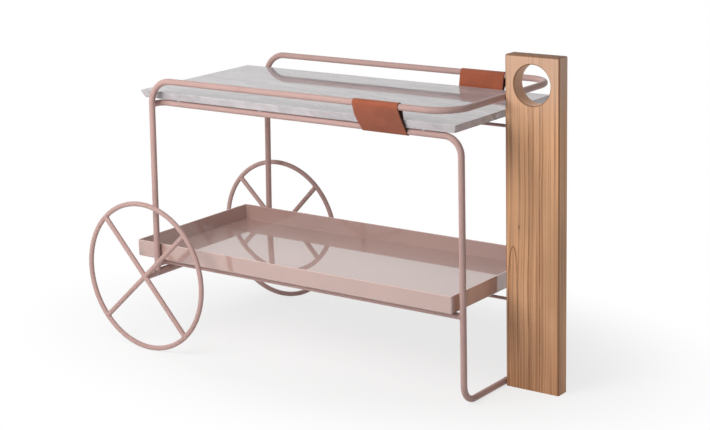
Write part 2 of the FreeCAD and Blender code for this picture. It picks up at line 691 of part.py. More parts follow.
def make_plank():
    """The standing plank with its hand hole, insert bores and screw holes."""
    body = document.addObject("PartDesign::Body", "plank")
    half = "Sizes.plank_thickness / 2"
    foot = sketch_on(body, "XY_Plane")
    draw_outline(foot, rectangle("Sizes.plank_face", "Sizes.plank_face + Sizes.plank_width", "-" + half, half))
    pad(body, foot, "Sizes.plank_height")
    floor = 1
    fillet(body, lambda edge: edge.BoundBox.ZMax > floor, "Sizes.plank_edge")
    hand = sketch_on(body, "XZ_Plane")
    centre = ("Sizes.plank_face + Sizes.plank_width / 2", "Sizes.plank_height - Sizes.hole_drop")
    draw_circle(hand, centre, "Sizes.hole_diameter")
    pocket(body, hand)
    radius = size["hole_diameter"] / 2
    fillet(body, lambda edge: is_rim(edge, radius), "Sizes.hole_edge")
    bores = sketch_on(body, "YZ_Plane", "Sizes.plank_face")
    for rail in ("Sizes.shelf_rail_height", "Sizes.tray_rail_height"):
        draw_circle(bores, ("0", rail + " - Sizes.rod_diameter"), "Sizes.insert_diameter")
    pocket(body, bores, "Sizes.insert_length", reverse=True)
    pilots = sketch_on(body, "YZ_Plane", "Sizes.plank_face")
    for height in ("Sizes.rail_height", "Sizes.tube_diameter / 2"):
        draw_circle(pilots, ("0", height), "Sizes.screw_diameter")
    pocket(body, pilots, "Sizes.screw_depth", reverse=True)
    keep("handle_plank", body)


def is_rim(edge, radius):
    return edge.isClosed() and abs(edge.Length - 2 * math.pi * radius) < 0.01


def make_inserts():
    """Threaded inserts in the plank, round the tie rods' ends."""
    inserts = []
    for rail in ("Sizes.shelf_rail_height", "Sizes.tray_rail_height"):
        place = ("Sizes.plank_face", "0", rail + " - Sizes.rod_diameter")
        outside = cylinder("Sizes.insert_diameter / 2", "Sizes.insert_length", place, X_AXIS)
        bore = cylinder("Sizes.rod_diameter / 2", "Sizes.insert_length", place, X_AXIS)
        inserts.append(cut(outside, bore))
    keep("plank_inserts", group(inserts))


def make_screws():
    """Button-head screws through the cross rail and the floor bar into the plank."""
    screws = []
    for height in ("Sizes.rail_height", "Sizes.tube_diameter / 2"):
        head_end = "-Sizes.tube_diameter / 2"
        head_top = head_end + " - Sizes.screw_head_height"
        shank = "Sizes.screw_diameter / 2"
        head = "Sizes.screw_head / 2"
        tip = "Sizes.tube_diameter / 2 + Sizes.screw_depth"
        screw = turned([("0", head_top), (head + " / 2", head_top), (head, head_end), (shank, head_end),
                        (shank, tip), ("0", tip)])
        screw.Placement = Placement(Vector(), Rotation(Z_AXIS, X_AXIS))
        bind(screw, Placement__Base__x="Sizes.handle_leg_x", Placement__Base__z=height)
        screws.append(screw)
    keep("plank_screws", group(screws))


# ---- build, check and write ------------------------------------------------------------


def build():
    make_upper_loop()
    make_lower_loop()
    make_tray_rails()
    make_axle_beam()
    for name, side in (("near", -1), ("far", 1)):
        make_wheel(name, side)
    make_slab()
    make_tray()
    make_pads("slab_pads", "Sizes.shelf_rail_height", "Sizes.slab_underside")
    make_pads("tray_pads", "Sizes.tray_rail_height", "Sizes.tray_underside")
    make_sleeves()
    make_rods("shelf", "Sizes.shelf_rail_height")
    make_rods("tray", "Sizes.tray_rail_height")
    make_plank()
    make_inserts()
    make_screws()
    document.recompute()


def check():
    """Stop at any object that failed to compute and any sub-part without a sound solid."""
    failed = [thing.Label for thing in document.Objects if {"Invalid", "Error"} & set(thing.State)]
    if failed:
        raise RuntimeError("failed to compute: %s" % ", ".join(failed))
    for label, thing in nodes.items():
        shape = thing.Shape
        if shape.isNull() or not shape.isValid() or not shape.Solids:
            raise RuntimeError("%s has no sound solid" % label)


def write():
    os.makedirs("parts", exist_ok=True)
    for label, thing in nodes.items():
        thing.Shape.exportStep("parts/%s.step" % label)
        print("%-26s %d solid(s), %.0f mm3" % (label, len(thing.Shape.Solids), thing.Shape.Volume))


build()
check()
write()
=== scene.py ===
"""Dresses the cheese trolley in its finishes, leather and fixings and stands it in a studio."""

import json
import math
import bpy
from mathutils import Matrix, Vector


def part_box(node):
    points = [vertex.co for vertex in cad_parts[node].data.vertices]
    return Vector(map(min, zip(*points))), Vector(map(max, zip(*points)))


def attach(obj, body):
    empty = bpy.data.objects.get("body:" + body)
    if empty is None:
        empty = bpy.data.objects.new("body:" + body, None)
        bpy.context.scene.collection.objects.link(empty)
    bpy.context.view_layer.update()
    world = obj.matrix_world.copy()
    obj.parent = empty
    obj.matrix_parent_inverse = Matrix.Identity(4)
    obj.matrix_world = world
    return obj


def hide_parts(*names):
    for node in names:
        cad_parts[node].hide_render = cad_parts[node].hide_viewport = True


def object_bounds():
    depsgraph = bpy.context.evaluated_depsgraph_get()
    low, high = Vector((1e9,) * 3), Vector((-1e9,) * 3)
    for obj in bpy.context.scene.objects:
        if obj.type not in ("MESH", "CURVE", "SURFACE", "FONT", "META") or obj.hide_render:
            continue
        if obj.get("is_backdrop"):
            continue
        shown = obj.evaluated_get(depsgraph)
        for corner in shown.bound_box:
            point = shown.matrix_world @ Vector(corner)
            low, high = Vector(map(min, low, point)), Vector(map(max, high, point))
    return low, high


bl_info = {
    "name": "Cheese Trolley Finishes",
    "version": (1, 0, 0),
    "blender": (4, 5, 0),
    "location": "3D View > Sidebar > Trolley",
    "description": "Finishes, leather sleeves, weld beads, screws and a studio for a trolley",
    "category": "Object",
}

import bpy
from mathutils import Matrix, Vector, noise

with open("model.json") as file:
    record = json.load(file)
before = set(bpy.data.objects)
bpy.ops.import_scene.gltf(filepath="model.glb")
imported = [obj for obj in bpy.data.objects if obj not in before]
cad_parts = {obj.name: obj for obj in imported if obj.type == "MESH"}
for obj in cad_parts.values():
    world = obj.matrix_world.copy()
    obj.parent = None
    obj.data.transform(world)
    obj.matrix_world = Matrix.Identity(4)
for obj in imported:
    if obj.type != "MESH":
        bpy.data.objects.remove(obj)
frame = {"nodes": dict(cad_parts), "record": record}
CAD_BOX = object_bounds()

NEAR, FAR = -1, 1
SIDE_NAMES = {NEAR: "near", FAR: "far"}
FRAME_BODY = "frame"
TUBES = ("upper_loop", "lower_loop", "tray_rail_near", "tray_rail_far", "axle_beam",
         "shelf_cross_rod", "tray_cross_rod", "shelf_tie_rod", "tray_tie_rod")


# ---- measures --------------------------------------------------------------------------


def half_size(node, axis):
    low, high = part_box(node)
    return (high[axis] - low[axis]) / 2


def middle(node):
    low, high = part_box(node)
    return (low + high) / 2


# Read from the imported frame: radii, and the centre lines of tubes and rods.
ROD_RADIUS = half_size("shelf_cross_rod", 0)
TUBE_RADIUS = ROD_RADIUS * 2
AXLE = middle("axle_beam")
AXLE_RADIUS = half_size("axle_beam", 0)
RAIL_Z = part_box("upper_loop")[1].z - TUBE_RADIUS
RAIL_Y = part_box("upper_loop")[1].y - TUBE_RADIUS
HANDLE_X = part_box("upper_loop")[1].x - TUBE_RADIUS
SHELF_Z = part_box("lower_loop")[1].z - TUBE_RADIUS
TRAY_RAIL_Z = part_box("tray_rail_near")[1].z - TUBE_RADIUS
LOWER_Y = TUBE_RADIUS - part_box("tray_rail_near")[1].y
ROD_X = middle("shelf_cross_rod").x
WHEEL_RADIUS = half_size("wheel_ring_near", 2)
BAR_RADIUS = half_size("wheel_ring_near", 1)
RING_RADIUS = WHEEL_RADIUS - BAR_RADIUS
# The plank's hand hole: its radius, and its middle below the plank's top.
HOLE_RADIUS = 0.0485
HOLE_DROP = 0.069
HOLE_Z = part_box("handle_plank")[1].z - HOLE_DROP
# How much nearer the plank a wheel-end leg is at the top rail than at the axle.
LEAN = 0.015
# The long spoke of each wheel, in degrees from X towards Z.
SPOKE_ANGLES = {NEAR: 42.0, FAR: 46.0}
# How far the slab's edges are cut back at its underside.
SLAB_CUT_BACK = 0.008


# ---- settings --------------------------------------------------------------------------


def colour(name, value, description):
    return bpy.props.FloatVectorProperty(
        name=name, description=description, subtype="COLOR", size=3, min=0, max=1, default=value)


def length(name, value, description):
    return bpy.props.FloatProperty(
        name=name, description=description, subtype="DISTANCE", unit="LENGTH",
        min=0, precision=5, default=value)


def position(name, value, description):
    return bpy.props.FloatVectorProperty(
        name=name, description=description, subtype="TRANSLATION", unit="LENGTH", default=value)


class TrolleyColours(bpy.types.PropertyGroup):
    """Colours of the finishes."""

    coat: colour("Powder coat", (0.512, 0.338, 0.311), "Rose coat on tubes and wheels")
    lacquer: colour("Tray lacquer", (0.50, 0.33, 0.292), "Gloss lacquer on the tray")
    marble: colour("Marble ground", (0.605, 0.56, 0.58), "Pale ground of the slab")
    vein: colour("Marble vein", (0.36, 0.35, 0.365), "Grey streaks in the slab")
    wood_pale: colour("Early wood", (0.66, 0.37, 0.203), "Pale wood between the growth lines")
    wood_dark: colour("Late wood", (0.31, 0.125, 0.052), "Dark growth lines")
    wood_end: colour("End grain", (0.24, 0.115, 0.060), "Ends of the plank, which drink more oil")
    leather: colour("Leather", (0.33, 0.083, 0.037), "Grain side of the sleeves")
    leather_edge: colour("Leather edge", (0.045, 0.018, 0.012), "Burnished cut edges")
    leather_back: colour("Leather back", (0.12, 0.050, 0.032), "Flesh side of the sleeves")


class TrolleySizes(bpy.types.PropertyGroup):
    """Sizes of what is added to the frame."""

    leather: length("Leather thickness", 0.0022, "Thickness of a sleeve's leather")
    bulge: length("Sleeve bulge", 0.0012, "How far a sleeve's front stands out between the rails")
    flare: length("Sleeve flare", 0.0036, "How much further it stands out towards the wheels")
    bead: length("Weld bead", 0.0013, "Radius of a weld bead")


class TrolleyStudio(bpy.types.PropertyGroup):
    """The camera and the light."""

    lens: bpy.props.FloatProperty(
        name="Lens", description="Focal length", subtype="DISTANCE_CAMERA", min=1, default=86.84)
    place: position("Camera place", (2.568, -3.4113, 1.458), "Where the camera stands")
    aim: position("Camera aim", (0.021, 0.0204, 0.3598), "The point in the middle of the picture")
    roll: bpy.props.FloatProperty(
        name="Camera roll", description="Turn of the camera about its own line of sight",
        subtype="ANGLE", unit="ROTATION", default=math.radians(-1.57))
    floor: colour("Floor", (0.80, 0.80, 0.80), "The studio floor")


# ---- shader expressions ----------------------------------------------------------------


class Paint:
    """The nodes of a material or a world, made by Python expressions."""

    def __init__(self, owner):
        self.owner = owner
        owner.use_nodes = True
        self.tree = owner.node_tree
        self.tree.nodes.clear()

    def node(self, kind, settings=None, inputs=None, output=0):
        """Add a node: its settings first, then the values or links of its sockets."""
        made = self.tree.nodes.new(kind)
        for name, value in (settings or {}).items():
            setattr(made, name, value)
        for name, value in (inputs or {}).items():
            if isinstance(value, Value):
                self.tree.links.new(value.socket, made.inputs[name])
            else:
                made.inputs[name].default_value = value
        return Value(self, made.outputs[output]) if len(made.outputs) else None

    def place(self):
        """Where a point is on the object, in metres."""
        return self.node("ShaderNodeTexCoord", output="Object")

    def axes(self, vector):
        """The three parts of a vector."""
        parts = self.node("ShaderNodeSeparateXYZ", inputs={0: vector})
        return [Value(self, parts.socket.node.outputs[index]) for index in range(3)]

    def vector(self, x, y, z):
        return self.node("ShaderNodeCombineXYZ", inputs={0: x, 1: y, 2: z})

    def noise(self, at, scale, detail=3.0, roughness=0.5):
        return self.node("ShaderNodeTexNoise", {"noise_dimensions": "3D"},
                         {"Vector": at, "Scale": scale, "Detail": detail, "Roughness": roughness})

    def cells(self, at, scale):
        return self.node("ShaderNodeTexVoronoi", {"feature": "F1"}, {"Vector": at, "Scale": scale})

    def steps(self, value, low, high):
        """0 below low, 1 above high and smooth between."""
        return self.node("ShaderNodeMapRange", {"interpolation_type": "SMOOTHSTEP"},
                         {0: value, 1: low, 2: high, 3: 0.0, 4: 1.0})

    def mix(self, share, first, second):
        """A colour between two colours."""
        return self.node("ShaderNodeMix", {"data_type": "RGBA"},
                         {0: share, 6: rgba(first), 7: rgba(second)}, output=2)

    def bump(self, height, reach, strength=1.0):
        """A normal from a height of 0 to 1 that stands for that many metres."""
        return self.node("ShaderNodeBump",
                         inputs={"Strength": strength, "Distance": reach, "Height": height})

    def finish(self, **sockets):
        """End the material in a Principled shader; Base_Color stands for its Base Color socket."""
        inputs = {}
        for name, value in sockets.items():
            name = name.replace("_", " ")
            inputs[name] = rgba(value) if name.endswith("Color") else value
        shader = self.node("ShaderNodeBsdfPrincipled", inputs=inputs)
        self.node("ShaderNodeOutputMaterial", inputs={"Surface": shader})
        return self.owner

    def background_rays(self):
        """1 where the camera, a mirror or a glass looks, 0 where the light itself is gathered."""
        looks = [self.node("ShaderNodeLightPath", output=name)
                 for name in ("Is Camera Ray", "Is Glossy Ray", "Is Transmission Ray")]
        return looks[0] + looks[1] + looks[2]


class Value:
    """A socket that Python's own operators work on; each operator adds its Math node."""

    def __init__(self, paint, socket):
        self.paint = paint
        self.socket = socket

    def math(self, operation, *values):
        inputs = dict(enumerate(values))
        return self.paint.node("ShaderNodeMath", {"operation": operation}, inputs)

    def __add__(self, other):
        return self.math("ADD", self, other)

    __radd__ = __add__

    def __sub__(self, other):
        return self.math("SUBTRACT", self, other)

    def __rsub__(self, other):
        return self.math("SUBTRACT", other, self)

    def __mul__(self, other):
        return self.math("MULTIPLY", self, other)

    __rmul__ = __mul__

    def __truediv__(self, other):
        return self.math("DIVIDE", self, other)

    def __rtruediv__(self, other):
        return self.math("DIVIDE", other, self)

    def __abs__(self):
        return self.math("ABSOLUTE", self)

    def root(self):
        return self.math("SQRT", self)


def rgba(value):
    """A colour with its alpha, or a socket as it is."""
    return value if isinstance(value, Value) else (*value[:3], 1.0)


# ---- finishes --------------------------------------------------------------------------

made_finishes = {}


def finish_of(name, recipe):
    """The material of that name, made once."""
    if name not in made_finishes:
        made_finishes[name] = recipe(Paint(bpy.data.materials.new(name)))
    return made_finishes[name]


def colours():
    return bpy.context.scene.trolley_colours


def sizes():
    return bpy.context.scene.trolley_sizes


def powder_coat(paint):
    """Satin powder coat: a faint orange peel, a fine speckle and a slow drift of tone."""
    at = paint.place()
    drift = paint.noise(at, 7.0, 2.0)
    speckle = paint.noise(at, 2600.0, 2.0, 0.7)
    peel = paint.noise(at, 420.0, 2.0, 0.55)
    base = Vector(colours().coat)
    tone = paint.mix(paint.steps(drift, 0.35, 0.65), base * 0.965, base * 1.03)
    tone = paint.mix(paint.steps(speckle, 0.62, 0.80) * 0.07, tone, base * 0.72)
    return paint.finish(
        Base_Color=tone,
        Roughness=0.28 + speckle * 0.08,
        Specular_IOR_Level=0.12,
        Normal=paint.bump(peel * 0.85 + speckle * 0.15, 0.00002, 0.2),
    )


def tray_lacquer(paint):
    """Wet-looking lacquer over a satin ground: a long ripple, a little dust and a painted highlight
    along the rim.
    """
    at = paint.place()
    drift = paint.noise(at, 3.0, 2.0)
    ripple = paint.noise(at, 34.0, 2.0, 0.5)
    peel = paint.noise(at, 300.0, 1.0, 0.5)
    dust = paint.noise(at, 900.0, 1.0, 0.5)
    base = Vector(colours().lacquer)
    tone = paint.mix(paint.steps(drift, 0.3, 0.7), base * 0.97, base * 1.03)
    tone = paint.mix(paint.steps(dust, 0.70, 0.78) * 0.12, tone, base * 1.35)
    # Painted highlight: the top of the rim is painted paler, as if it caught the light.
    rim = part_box("tray")[1].z
    rim_highlight = paint.steps(paint.axes(at)[2], rim - 0.0022, rim - 0.0006)
    tone = paint.mix(rim_highlight * 0.8, tone, base * 1.4)
    return paint.finish(
        Base_Color=tone,
        Roughness=0.34 + peel * 0.06,
        Specular_IOR_Level=0.3,
        Coat_Weight=1.0,
        Coat_Roughness=0.03,
        Coat_IOR=2.05,
        Normal=paint.bump(ripple * 0.85 + peel * 0.15, 0.00002, 0.35),
    )


def polished_marble(paint):
    """Pale marble with soft grey streaks along the slab, broken veins and a polished face."""
    at = paint.place()
    x, y, z = paint.axes(at)
    warp = paint.noise(at, 4.0, 3.0, 0.55)
    lean = y + z * 0.8 + x * 0.16 + (warp - 0.5) * 0.11
    clouds = paint.noise(paint.vector(x * 2.4, lean * 17.0, z * 3.0), 1.7, 6.0, 0.62)
    bands = paint.noise(paint.vector(x * 5.5 + 7.0, lean * 42.0, z * 9.0), 1.0, 5.0, 0.6)
    broken = paint.noise(at, 26.0, 3.0, 0.6)
    ridge = 1.0 - abs(bands - 0.5) * 2.0
    vein = paint.steps(ridge, 0.84, 1.0) * paint.steps(broken, 0.42, 0.60)
    strands = paint.noise(paint.vector(x * 9.0 + 3.0, lean * 110.0, z * 16.0), 1.0, 4.0, 0.6)
    hair = paint.steps(1.0 - abs(strands - 0.5) * 2.0, 0.88, 1.0)
    crystal = paint.noise(at, 900.0, 3.0, 0.7)
    ground = Vector(colours().marble)
    grey = Vector(colours().vein)
    tone = paint.mix(paint.steps(clouds, 0.34, 0.66), ground * 1.05, ground * 0.86)
    tone = paint.mix(vein * (0.20 + clouds * 0.45), tone, grey)
    tone = paint.mix(hair * paint.steps(warp, 0.42, 0.60) * 0.30, tone, grey * 0.9)
    tone = paint.mix(paint.steps(crystal, 0.55, 0.75) * 0.14, tone, ground * 1.18)
    return paint.finish(
        Base_Color=tone,
        Roughness=0.035 + crystal * 0.03,
        Specular_IOR_Level=0.32,
        Subsurface_Weight=0.05,
        Subsurface_Radius=(0.006, 0.006, 0.006),
        Normal=paint.bump(crystal * 0.6 + clouds * 0.4, 0.00002, 0.25),
    )


# Marks on the plank: the arch's tip, its half width far below the tip and how far down it takes to
# open to half of that, the knot's middle, and where the two dark lines run.
ARCH = (0.5190, 0.3580)
ARCH_HALF = 0.0141
ARCH_OPENING = 0.0185
KNOT = (0.5355, 0.4064)
DARK_LINES = (0.5630, 0.5930)
# Painted light on the plank: a paler, whiter painted highlight above the first of these heights,
# and painted shade, darker, below the second.
HIGHLIGHT_ABOVE = 0.60
SHADE_BELOW = 0.30


def oiled_plank(paint):
    """Oiled board: growth lines along it, a pointed arch, a knot, ends that drank more oil, and
    painted light: a highlight at the top, shade at the foot, a paler hole wall and dark rounded
    edges.
    """
    at = paint.place()
    x, y, z = paint.axes(at)
    low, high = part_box("handle_plank")
    sway = paint.noise(paint.vector(x * 6.0, y * 6.0, z * 2.4), 1.0, 2.0) - 0.5
    shiver = paint.noise(paint.vector(x * 34.0, y * 34.0, z * 11.0), 1.0, 2.0) - 0.5
    knot_x, knot_z = x - KNOT[0], (z - KNOT[1]) * 0.45
    from_knot = (knot_x * knot_x + knot_z * knot_z).root()
    parted = (1.0 - paint.steps(from_knot, 0.001, 0.016)) * knot_x * 0.5
    across = x + sway * 0.012 + shiver * 0.0022 - parted
    grown = across + y * 0.8
    lines = paint.noise(paint.vector(grown * 330.0, 3.0, z * 1.3), 1.0, 3.0, 0.6)
    years = paint.noise(paint.vector(grown * 120.0, 0.0, z * 0.8), 1.0, 1.0)
    late = paint.steps(1.0 - abs(years - 0.5) * 2.0, 0.86, 1.0)
    fibre = paint.noise(paint.vector(x * 900.0, y * 900.0, z * 11.0), 1.0, 3.0, 0.6)
    pinholes = paint.noise(paint.vector(x * 1700.0, y * 1700.0, z * 70.0), 1.0, 2.0)
    pores = paint.steps(pinholes, 0.60, 0.72)
    patch = paint.noise(paint.vector(x * 10.0, y * 10.0, z * 3.5), 1.0, 2.0)
    broken = paint.noise(paint.vector(x * 40.0, y * 40.0, z * 16.0), 1.0, 2.0)
    drop = ARCH[1] - z
    half = drop / (drop + ARCH_OPENING) * ARCH_HALF
    off_arch = abs(abs(x - ARCH[0] + sway * 0.006 + shiver * 0.0012) - half)
    front = 1.0 - paint.steps(y, low.y + 0.0005, low.y + 0.006)
    drawn = (1.0 - paint.steps(off_arch, 0.0007, 0.0026)) * paint.steps(drop, 0.0, 0.0015) * front
    for place in DARK_LINES:
        off_line = abs(x - place + sway * 0.016 + shiver * 0.0016)
        drawn = drawn + (1.0 - paint.steps(off_line, 0.0005, 0.0025))
    drawn = drawn * (0.42 + paint.steps(broken, 0.35, 0.62) * 0.42)
    pale, dark = Vector(colours().wood_pale), Vector(colours().wood_dark)
    tone = paint.mix(paint.steps(patch, 0.30, 0.70), pale * 1.16, pale * 0.90)
    tone = paint.mix(paint.steps(lines, 0.48, 0.74) * 0.52, tone, dark * 1.3)
    tone = paint.mix(late * 0.58, tone, dark)
    tone = paint.mix(paint.steps(fibre, 0.50, 0.80) * 0.22, tone, dark)
    tone = paint.mix(pores * 0.35, tone, dark * 0.6)
    tone = paint.mix((1.0 - paint.steps(from_knot, 0.0010, 0.0034)) * 0.75, tone, dark * 0.5)
    tone = paint.mix(drawn, tone, dark * 0.75)
    # Painted highlight at the plank's top and painted shade towards its foot, where the light falls
    # off.
    top_highlight = pale * 1.06 + Vector((0.0, 0.09, 0.16))
    tone = paint.mix(paint.steps(z, HIGHLIGHT_ABOVE, high.z) * 0.55, tone, top_highlight)
    tone = paint.mix((1.0 - paint.steps(z, 0.01, SHADE_BELOW)) * 0.30, tone, dark * 1.15)
    # Painted light: the hand hole's wall is painted paler and greyer, as if lit from the side.
    bored_x, bored_z = x - middle("handle_plank").x, z - HOLE_Z
    from_hole = (bored_x * bored_x + bored_z * bored_z).root()
    hole_wall_light = 1.0 - paint.steps(from_hole, HOLE_RADIUS + 0.0001, HOLE_RADIUS + 0.0022)
    tone = paint.mix(hole_wall_light * 0.7, tone, pale * 1.1 + Vector((0.02, 0.06, 0.07)))
    n = [abs(part) for part in paint.axes(paint.node("ShaderNodeTexCoord", output="Normal"))]
    # Painted shade: the plank's rounded edges are painted dark, standing in for the dark reflection
    # along them.
    rounded = paint.steps((n[0] + n[2]) * n[1], 0.06, 0.34)
    tone = paint.mix(rounded * 0.80, tone, dark * 0.8)
    end = paint.steps(n[2], 0.50, 0.90) * (1.0 - hole_wall_light)
    oiled = Vector(colours().wood_end)
    end_tone = paint.mix(paint.steps(lines + late * 0.2, 0.42, 0.75), oiled * 1.15, oiled * 0.65)
    tone = paint.mix(end, tone, paint.mix(pores * 0.5, end_tone, dark * 0.35))
    return paint.finish(
        Base_Color=tone,
        Roughness=0.42 + fibre * 0.14 + end * 0.12,
        Specular_IOR_Level=0.4,
        Normal=paint.bump(fibre * 0.40 - lines * 0.15 - pores * 0.35 - drawn * 0.25, 0.00018, 0.5),
    )


def saddle_leather(paint):
    """Smooth vegetable-tanned leather with pebbled grain, faint scratches and a warm patina."""
    at = paint.place()
    x, y, z = paint.axes(at)
    grain = paint.cells(at, 1500.0)
    coarse = paint.cells(at, 520.0)
    patina = paint.noise(at, 24.0, 3.0, 0.6)
    mottle = paint.noise(at, 160.0, 3.0, 0.6)
    scratch = paint.noise(paint.vector(x * 60.0, y * 900.0, z * 900.0), 1.0, 2.0)
    base = Vector(colours().leather)
    tone = paint.mix(paint.steps(patina, 0.32, 0.68), base * 0.88, base * 1.10)
    tone = paint.mix(paint.steps(mottle, 0.50, 0.75) * 0.22, tone, base * 0.72)
    tone = paint.mix(paint.steps(scratch, 0.70, 0.80) * 0.16, tone, base * 1.4)
    tone = paint.mix(paint.steps(grain, 0.30, 0.70) * 0.18, tone, base * 0.68)
    return paint.finish(
        Base_Color=tone,
        Roughness=0.38 + mottle * 0.16,
        Specular_IOR_Level=0.4,
        Sheen_Weight=0.06,
        Normal=paint.bump(grain * 0.5 + coarse * 0.3 + mottle * 0.2, 0.00014, 0.5),
    )


def plain_finish(shade, roughness, **sockets):
    """A recipe for a small piece: one colour, broken up by a fine grain in tone, gloss and bump."""

    def recipe(paint):
        grain = paint.noise(paint.place(), 1100.0, 3.0, 0.6)
        base = Vector(shade)
        return paint.finish(
            Base_Color=paint.mix(paint.steps(grain, 0.3, 0.7), base * 0.88, base * 1.08),
            Roughness=roughness + grain * 0.12,
            Normal=paint.bump(grain, 0.00004, 0.5),
            **sockets,
        )

    return recipe


def turned_steel(paint):
    """Bare steel with the fine rings that a lathe leaves about the axle."""
    x, y, z = paint.axes(paint.place())
    ring = paint.noise(paint.vector(x * 30.0, y * 5200.0, z * 30.0), 1.0, 2.0)
    return paint.finish(
        Base_Color=paint.mix(ring, Vector((0.46, 0.455, 0.45)), Vector((0.62, 0.615, 0.61))),
        Metallic=1.0,
        Roughness=0.24 + ring * 0.16,
        Normal=paint.bump(ring, 0.00003, 0.5),
    )


FINISHES = {
    "frame_coat": ("powder_coat", powder_coat),
    "wheel_coat": ("powder_coat", powder_coat),
    "tray_lacquer": ("tray_lacquer", tray_lacquer),
    "slab_marble": ("polished_marble", polished_marble),
    "plank_wood": ("oiled_plank", oiled_plank),
    "sleeve_leather": ("saddle_leather", saddle_leather),
    "turned_steel": ("turned_steel", turned_steel),
    "bush_nylon": ("bush_nylon", plain_finish((0.76, 0.74, 0.68), 0.42)),
    "insert_brass": ("insert_brass", plain_finish((0.62, 0.44, 0.17), 0.28, Metallic=1.0)),
    "pad_rubber": ("pad_rubber", plain_finish((0.55, 0.53, 0.50), 0.40)),
}


def finish(slot):
    """The material that goes with one of the record's material slots."""
    return finish_of(*FINISHES[slot])


def dress(node):
    """Give a frame node the finish of its own material slot."""
    subparts = frame["record"]["subparts"]
    slot = next(part["material_slot"] for part in subparts if part["node"] == node)
    mesh = frame["nodes"][node].data
    mesh.materials.clear()
    mesh.materials.append(finish(slot))


# ---- object and mesh helpers -----------------------------------------------------------


def new_object(name, data):
    """An object that is linked to the scene."""
    made = bpy.data.objects.new(name, data)
    bpy.context.scene.collection.objects.link(made)
    return made


def new_piece(name, vertices, faces, materials, body):
    """A mesh piece that rides on a body and takes its finish from a slot."""
    mesh = bpy.data.meshes.new(name)
    mesh.from_pydata([tuple(point) for point in vertices], [], faces)
    mesh.update()
    for material in materials:
        mesh.materials.append(material)
    made = new_object(name, mesh)
    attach(made, body)
    return made


def smooth(piece, angle=40.0):
    """Smooth shading with edges sharper than the angle left crisp."""
    piece.data.polygons.foreach_set("use_smooth", [True] * len(piece.data.polygons))
    piece.data.set_sharp_from_angle(angle=math.radians(angle))
    piece.data.update()


def grid_faces(rows, columns, closed_rows=False, closed_columns=False, start=0):
    """The quads of a grid of vertices numbered row by row."""
    faces = []
    for row in range(rows if closed_rows else rows - 1):
        for column in range(columns if closed_columns else columns - 1):
            above, beside = (row + 1) % rows, (column + 1) % columns
            faces.append((start + row * columns + column, start + row * columns + beside,
                          start + above * columns + beside, start + above * columns + column))
    return faces


# ---- weld beads ------------------------------------------------------------------------

# Points round a joint, and sides of a bead's own section.
BEAD_POINTS = 56
BEAD_SIDES = 10
# A bead is no thicker than this share of its bar's radius, and lies at least this far out along it.
BEAD_SHARE = 0.2
COPE_STOP = 0.002


def cope_line(foot, along, radius, other, other_along, other_radius):
    """Where a round bar meets the outside of another: points round the bar's end."""
    along, other_along = along.normalized(), other_along.normalized()
    across = along.cross(other_along).normalized()
    up = across.cross(along).normalized()
    flat = along - other_along * along.dot(other_along)
    points = []
    for index in range(BEAD_POINTS):
        turn = 2 * math.pi * index / BEAD_POINTS
        edge = foot + (across * math.sin(turn) + up * math.cos(turn)) * radius
        apart = edge - other
        apart -= other_along * apart.dot(other_along)
        a, b, c = flat.dot(flat), apart.dot(flat), apart.dot(apart) - other_radius ** 2
        reach = (-b + math.sqrt(max(b * b - a * c, 0.0))) / a
        points.append(edge + along * max(reach, COPE_STOP))
    return points


def bead_mesh(line, along, radius, seed, vertices, faces):
    """Add a rippled bead that follows a closed line."""
    start = len(vertices)
    count = len(line)
    for index, point in enumerate(line):
        ahead = (line[(index + 1) % count] - line[index - 1]).normalized()
        side = ahead.cross(along).normalized()
        up = side.cross(ahead)
        unsteady = noise.noise(Vector((index * 0.21, seed, 0.0)))
        ripple = 1.0 + 0.10 * math.sin(index * 2.2) + 0.12 * unsteady
        for step in range(BEAD_SIDES):
            turn = 2 * math.pi * step / BEAD_SIDES
            vertices.append(point + (side * math.cos(turn) + up * math.sin(turn)) * radius * ripple)
    faces.extend(grid_faces(count, BEAD_SIDES, True, True, start))


def weld_beads(name, joints, body, slot):
    """One piece for all the beads of a body, each joint a bar's end on another bar.

    Beads on a wheel's outer side are dressed flush with it.
    """
    vertices, faces = [], []
    for number, joint in enumerate(joints):
        along, radius = joint[1:3]
        bead = min(sizes().bead, radius * BEAD_SHARE)
        bead_mesh(cope_line(*joint), along, bead, number * 3.7, vertices, faces)
    near, far = CAD_BOX[0][1], CAD_BOX[1][1]
    flush = [Vector((at.x, min(max(at.y, near), far), at.z)) for at in vertices]
    smooth(new_piece(name, flush, faces, [finish(slot)], body), 180.0)


def leg_point(side, height):
    """The centre of a leaning wheel-end leg at a height, and its direction."""
    lean = Vector((LEAN, 0, RAIL_Z - AXLE.z))
    foot = Vector((AXLE.x, side * RAIL_Y, AXLE.z))
    return foot + lean * ((height - AXLE.z) / lean.z), lean


def frame_joints():
    """Every welded joint of the tube frame."""
    joints = []
    for side in (NEAR, FAR):
        inward = Vector((0, -side, 0))
        foot, lean = leg_point(side, AXLE.z)
        joints.append((foot, lean, TUBE_RADIUS, AXLE, Vector((0, 1, 0)), AXLE_RADIUS))
        for height in (SHELF_Z, TRAY_RAIL_Z):
            foot, lean = leg_point(side, height)
            joints.append((foot, inward, TUBE_RADIUS, foot, lean, TUBE_RADIUS))
            rod_end = Vector((ROD_X, side * LOWER_Y, height))
            joints.append((rod_end, inward, ROD_RADIUS, rod_end, Vector((1, 0, 0)), TUBE_RADIUS))
        rail_end = Vector((HANDLE_X, side * LOWER_Y, TRAY_RAIL_Z))
        joints.append((rail_end, Vector((-1, 0, 0)), TUBE_RADIUS,
                       rail_end, Vector((0, 0, 1)), TUBE_RADIUS))
    return joints


